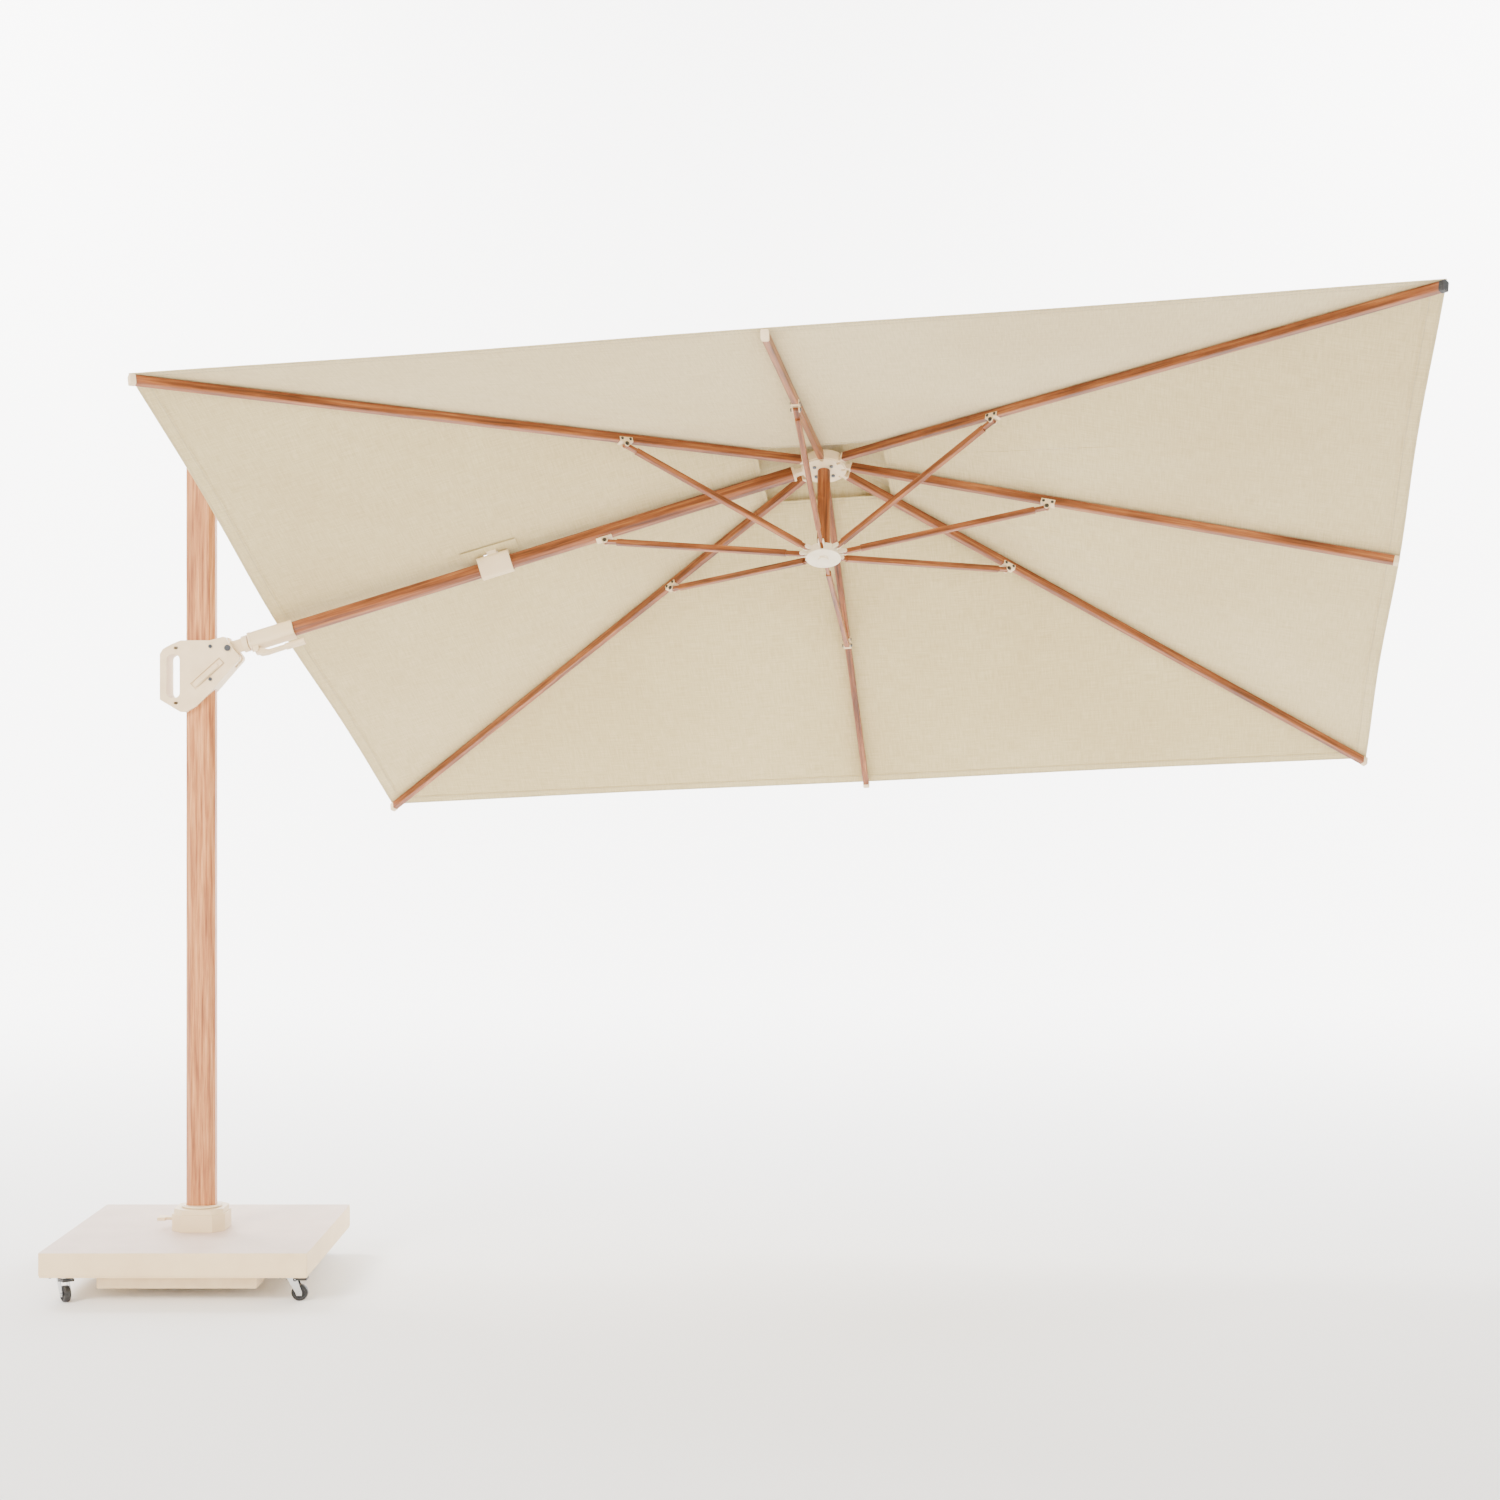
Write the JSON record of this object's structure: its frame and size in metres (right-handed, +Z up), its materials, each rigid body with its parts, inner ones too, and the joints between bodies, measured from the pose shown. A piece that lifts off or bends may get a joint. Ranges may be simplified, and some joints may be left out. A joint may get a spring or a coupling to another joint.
{
  "type": "cantilever parasol",
  "caption": "Side-mast cantilever parasol: rectangular hipped canopy on hinged ribs and struts, sliding crank, tilting arm, turning mast foot and a wheeled square base.",
  "frame": {"origin": "on the floor under the mast's vertical axis, at the centre of the square base", "axes": "+Z up, +X from the mast towards the canopy along the arm; -Y is the near side, where the canopy is tilted up"},
  "size_m": [4.312, 2.8619, 2.8768],
  "materials": {
    "wood_finish_tube": "satin",
    "cream_moulding": "satin",
    "cream_casting": "satin",
    "slab_stone": "matte",
    "canopy_cloth": "matte",
    "castor_steel": "polished",
    "castor_rubber": "satin",
    "bolt_steel": "satin"
  },
  "bodies": {
    "base": {"base_slab": "slab_stone", "base_plinth": "cream_moulding", "castor_plates": "castor_steel", "foot_block": "cream_moulding"},
    "mast": {"foot_ring": "cream_casting", "mast": "wood_finish_tube", "mast_head": "cream_casting"},
    "turn_pedal": {"turn_pedal": "cream_moulding"},
    "link": {"upper_strut": "wood_finish_tube", "strut_ends": "cream_casting"},
    "carrier": {"arm_neck": "cream_casting", "arm_bracket": "cream_casting"},
    "slider": {"slider_near_shell": "cream_moulding", "slider_far_shell": "cream_moulding", "slider_bolts": "bolt_steel"},
    "clamp_lever": {"clamp_lever": "cream_moulding"},
    "arm": {"arm_socket": "cream_casting", "arm_tube": "wood_finish_tube", "arm_end": "cream_casting"},
    "tilt_lever": {"tilt_lever": "cream_moulding"},
    "hub": {"hub_body": "cream_casting", "centre_pole": "wood_finish_tube", "hub_bolts": "bolt_steel", "canopy": "canopy_cloth", "vent_cover": "canopy_cloth"},
    "runner": {"runner": "cream_casting"},
    "strut_arm": {"strut_arm": "wood_finish_tube"},
    "rib_outer": {"rib_outer": "wood_finish_tube", "rib_fittings_outer": "cream_moulding"},
    "strut_outer": {"strut_outer": "wood_finish_tube"},
    "rib_far_outer": {"rib_far_outer": "wood_finish_tube", "rib_fittings_far_outer": "cream_moulding"},
    "strut_far_outer": {"strut_far_outer": "wood_finish_tube"},
    "rib_far": {"rib_far": "wood_finish_tube", "rib_fittings_far": "cream_moulding"},
    "strut_far": {"strut_far": "wood_finish_tube"},
    "rib_far_inner": {"rib_far_inner": "wood_finish_tube", "rib_fittings_far_inner": "cream_moulding"},
    "strut_far_inner": {"strut_far_inner": "wood_finish_tube"},
    "rib_near_inner": {"rib_near_inner": "wood_finish_tube", "rib_fittings_near_inner": "cream_moulding"},
    "strut_near_inner": {"strut_near_inner": "wood_finish_tube"},
    "rib_near": {"rib_near": "wood_finish_tube", "rib_fittings_near": "cream_moulding"},
    "strut_near": {"strut_near": "wood_finish_tube"},
    "rib_near_outer": {"rib_near_outer": "wood_finish_tube", "rib_fittings_near_outer": "cream_moulding"},
    "strut_near_outer": {"strut_near_outer": "wood_finish_tube"},
    "fork_near_inner": {"castor_fork_near_inner": "castor_steel"},
    "wheel_near_inner": {"castor_wheel_near_inner": "castor_rubber"},
    "brake_near_inner": {"castor_brake_near_inner": "castor_rubber"},
    "fork_near_outer": {"castor_fork_near_outer": "castor_steel"},
    "wheel_near_outer": {"castor_wheel_near_outer": "castor_rubber"},
    "brake_near_outer": {"castor_brake_near_outer": "castor_rubber"},
    "fork_far_inner": {"castor_fork_far_inner": "castor_steel"},
    "wheel_far_inner": {"castor_wheel_far_inner": "castor_rubber"},
    "brake_far_inner": {"castor_brake_far_inner": "castor_rubber"},
    "fork_far_outer": {"castor_fork_far_outer": "castor_steel"},
    "wheel_far_outer": {"castor_wheel_far_outer": "castor_rubber"},
    "brake_far_outer": {"castor_brake_far_outer": "castor_rubber"}
  },
  "joints": [
    {"name": "mast_turn", "type": "hinge", "parent": "base", "child": "mast", "pos_m": [0, 0, 0.155], "axis": [0, 0, 1], "continuous": true},
    {"name": "fold", "type": "hinge", "parent": "mast", "child": "link", "pos_m": [0.0923, 0, 2.63512], "axis": [0, 1, 0], "range_deg": [0, 65], "deforming": ["canopy", "vent_cover"]},
    {"name": "link_end", "type": "hinge", "parent": "link", "child": "carrier", "pos_m": [0.92309, 0, 2.31956], "axis": [0, 1, 0], "range_deg": [-130.5, 0]},
    {"name": "crank", "type": "hinge", "parent": "carrier", "child": "slider", "pos_m": [0.0923, 0, 2.004], "axis": [0, 1, 0], "range_deg": [0, 65.5]},
    {"name": "side_tilt", "type": "hinge", "parent": "carrier", "child": "arm", "pos_m": [0.0923, 0, 2.004], "axis": [0.955, 0, 0.2965], "range_deg": [-6.7, 63.3]},
    {"name": "hub_fold", "type": "hinge", "parent": "arm", "child": "hub", "pos_m": [1.92224, 0, 2.57221], "axis": [0.1406, 0.8805, -0.4528], "range_deg": [0, 67.9]},
    {"name": "rib_fold_outer", "type": "hinge", "parent": "hub", "child": "rib_outer", "pos_m": [2.04906, -0.01406, 2.58425], "axis": [0.1406, 0.8805, -0.4528], "range_deg": [0, 72.43]},
    {"name": "rib_fold_far_outer", "type": "hinge", "parent": "hub", "child": "rib_far_outer", "pos_m": [2.04137, 0.02213, 2.5659], "axis": [-0.4933, 0.7784, -0.3882], "range_deg": [0, 74.5]},
    {"name": "rib_fold_far", "type": "hinge", "parent": "hub", "child": "rib_far", "pos_m": [1.9947, 0.05081, 2.55216], "axis": [-0.9899, 0.1331, -0.0486], "range_deg": [0, 67.75]},
    {"name": "rib_fold_far_inner", "type": "hinge", "parent": "hub", "child": "rib_far_inner", "pos_m": [1.94104, 0.03562, 2.56097], "axis": [-0.716, -0.6159, 0.3288], "range_deg": [0, 74.5]},
    {"name": "rib_fold_near_inner", "type": "hinge", "parent": "hub", "child": "rib_near_inner", "pos_m": [1.93005, -0.03322, 2.59637], "axis": [0.4933, -0.7784, 0.3882], "range_deg": [0, 74.5]},
    {"name": "rib_fold_near", "type": "hinge", "parent": "hub", "child": "rib_near", "pos_m": [1.97671, -0.0619, 2.61011], "axis": [0.9899, -0.1331, 0.0486], "range_deg": [0, 67.75]},
    {"name": "rib_fold_near_outer", "type": "hinge", "parent": "hub", "child": "rib_near_outer", "pos_m": [2.03037, -0.04671, 2.6013], "axis": [0.716, 0.6159, -0.3288], "range_deg": [0, 74.5]},
    {"name": "strut_fold_outer", "type": "hinge", "parent": "rib_outer", "child": "strut_outer", "pos_m": [2.67514, -0.19035, 2.43582], "axis": [0.1406, 0.8805, -0.4528], "range_deg": [-151.81, 0]},
    {"name": "strut_fold_far_outer", "type": "hinge", "parent": "rib_far_outer", "child": "strut_far_outer", "pos_m": [2.59431, 0.22611, 2.27222], "axis": [-0.4933, 0.7784, -0.3882], "range_deg": [-148.5, 0]},
    {"name": "strut_fold_far", "type": "hinge", "parent": "rib_far", "child": "strut_far", "pos_m": [2.07931, 0.49099, 2.03415], "axis": [-0.9899, 0.1331, -0.0486], "range_deg": [-152.58, 0]},
    {"name": "strut_fold_far_inner", "type": "hinge", "parent": "rib_far_inner", "child": "strut_far_inner", "pos_m": [1.49229, 0.37424, 2.2181], "axis": [-0.716, -0.6159, 0.3288], "range_deg": [-148.5, 0]},
    {"name": "strut_fold_near_inner", "type": "hinge", "parent": "rib_near_inner", "child": "strut_near_inner", "pos_m": [1.37156, -0.3819, 2.60693], "axis": [0.4933, -0.7784, 0.3882], "range_deg": [-148.5, 0]},
    {"name": "strut_fold_near", "type": "hinge", "parent": "rib_near", "child": "strut_near", "pos_m": [1.88305, -0.73816, 2.66621], "axis": [0.9899, -0.1331, 0.0486], "range_deg": [-152.58, 0]},
    {"name": "strut_fold_near_outer", "type": "hinge", "parent": "rib_near_outer", "child": "strut_near_outer", "pos_m": [2.47358, -0.53003, 2.66105], "axis": [0.716, 0.6159, -0.3288], "range_deg": [-148.5, 0]},
    {"name": "strut_fold_arm", "type": "hinge", "parent": "arm", "child": "strut_arm", "pos_m": [1.28879, -0.01612, 2.34417], "axis": [-0.1406, -0.8805, 0.4528], "range_deg": [-146.55, 0]},
    {"name": "runner_drop", "type": "hinge", "parent": "strut_near_outer", "child": "runner", "pos_m": [2.02483, -0.19141, 2.31818], "axis": [0.716, 0.6159, -0.3288], "range_deg": [0, 74.5]},
    {"name": "slider_clamp", "type": "hinge", "parent": "slider", "child": "clamp_lever", "pos_m": [0.071, -0.0495, 1.961], "axis": [-0.6691, 0, 0.7431], "range_deg": [0, 60]},
    {"name": "tilt_lock", "type": "hinge", "parent": "arm", "child": "tilt_lever", "pos_m": [0.18053, -0.01801, 1.99636], "axis": [0.1406, 0.8805, -0.4528], "range_deg": [0, 60]},
    {"name": "turn_lock", "type": "hinge", "parent": "base", "child": "turn_pedal", "pos_m": [-0.076, 0, 0.189], "axis": [0, -1, 0], "range_deg": [0, 12]},
    {"name": "swivel_near_inner", "type": "hinge", "parent": "base", "child": "fork_near_inner", "pos_m": [-0.35, -0.35, 0.07], "axis": [0, 0, 1], "continuous": true},
    {"name": "wheel_spin_near_inner", "type": "hinge", "parent": "fork_near_inner", "child": "wheel_near_inner", "pos_m": [-0.33399, -0.37049, 0.025], "axis": [0.788, 0.6157, 0], "continuous": true},
    {"name": "wheel_brake_near_inner", "type": "hinge", "parent": "fork_near_inner", "child": "brake_near_inner", "pos_m": [-0.34138, -0.36103, 0.0671], "axis": [0.788, 0.6157, 0], "range_deg": [0, 10]},
    {"name": "swivel_near_outer", "type": "hinge", "parent": "base", "child": "fork_near_outer", "pos_m": [0.35, -0.35, 0.07], "axis": [0, 0, 1], "continuous": true},
    {"name": "wheel_spin_near_outer", "type": "hinge", "parent": "fork_near_outer", "child": "wheel_near_outer", "pos_m": [0.376, -0.35, 0.025], "axis": [0, 1, 0], "continuous": true},
    {"name": "wheel_brake_near_outer", "type": "hinge", "parent": "fork_near_outer", "child": "brake_near_outer", "pos_m": [0.364, -0.35, 0.0671], "axis": [0, 1, 0], "range_deg": [0, 10]},
    {"name": "swivel_far_inner", "type": "hinge", "parent": "base", "child": "fork_far_inner", "pos_m": [-0.35, 0.35, 0.07], "axis": [0, 0, 1], "continuous": true},
    {"name": "wheel_spin_far_inner", "type": "hinge", "parent": "fork_far_inner", "child": "wheel_far_inner", "pos_m": [-0.37252, 0.363, 0.025], "axis": [-0.5, -0.866, 0], "continuous": true},
    {"name": "wheel_brake_far_inner", "type": "hinge", "parent": "fork_far_inner", "child": "brake_far_inner", "pos_m": [-0.36212, 0.357, 0.0671], "axis": [-0.5, -0.866, 0], "range_deg": [0, 10]},
    {"name": "swivel_far_outer", "type": "hinge", "parent": "base", "child": "fork_far_outer", "pos_m": [0.35, 0.35, 0.07], "axis": [0, 0, 1], "continuous": true},
    {"name": "wheel_spin_far_outer", "type": "hinge", "parent": "fork_far_outer", "child": "wheel_far_outer", "pos_m": [0.3241, 0.34773, 0.025], "axis": [0.0872, -0.9962, 0], "continuous": true},
    {"name": "wheel_brake_far_outer", "type": "hinge", "parent": "fork_far_outer", "child": "brake_far_outer", "pos_m": [0.33605, 0.34878, 0.0671], "axis": [0.0872, -0.9962, 0], "range_deg": [0, 10]}
  ],
  "couplings": [
    {"joint": "link_end", "follows": "fold", "ratio": -2},
    {"joint": "crank", "follows": "fold", "ratio": 1},
    {"joint": "hub_fold", "follows": "fold", "ratio": 1.0369},
    {"joint": "rib_fold_outer", "follows": "fold", "ratio": 1.1065},
    {"joint": "rib_fold_far_outer", "follows": "fold", "ratio": 1.1385},
    {"joint": "rib_fold_far", "follows": "fold", "ratio": 1.0346},
    {"joint": "rib_fold_far_inner", "follows": "fold", "ratio": 1.1385},
    {"joint": "rib_fold_near_inner", "follows": "fold", "ratio": 1.1385},
    {"joint": "rib_fold_near", "follows": "fold", "ratio": 1.0346},
    {"joint": "rib_fold_near_outer", "follows": "fold", "ratio": 1.1385},
    {"joint": "strut_fold_outer", "follows": "fold", "ratio": -2.3279},
    {"joint": "strut_fold_far_outer", "follows": "fold", "ratio": -2.2769},
    {"joint": "strut_fold_far", "follows": "fold", "ratio": -2.3398},
    {"joint": "strut_fold_far_inner", "follows": "fold", "ratio": -2.2769},
    {"joint": "strut_fold_near_inner", "follows": "fold", "ratio": -2.2769},
    {"joint": "strut_fold_near", "follows": "fold", "ratio": -2.3398},
    {"joint": "strut_fold_near_outer", "follows": "fold", "ratio": -2.2769},
    {"joint": "strut_fold_arm", "follows": "fold", "ratio": -2.2469},
    {"joint": "runner_drop", "follows": "fold", "ratio": 1.1385}
  ]
}
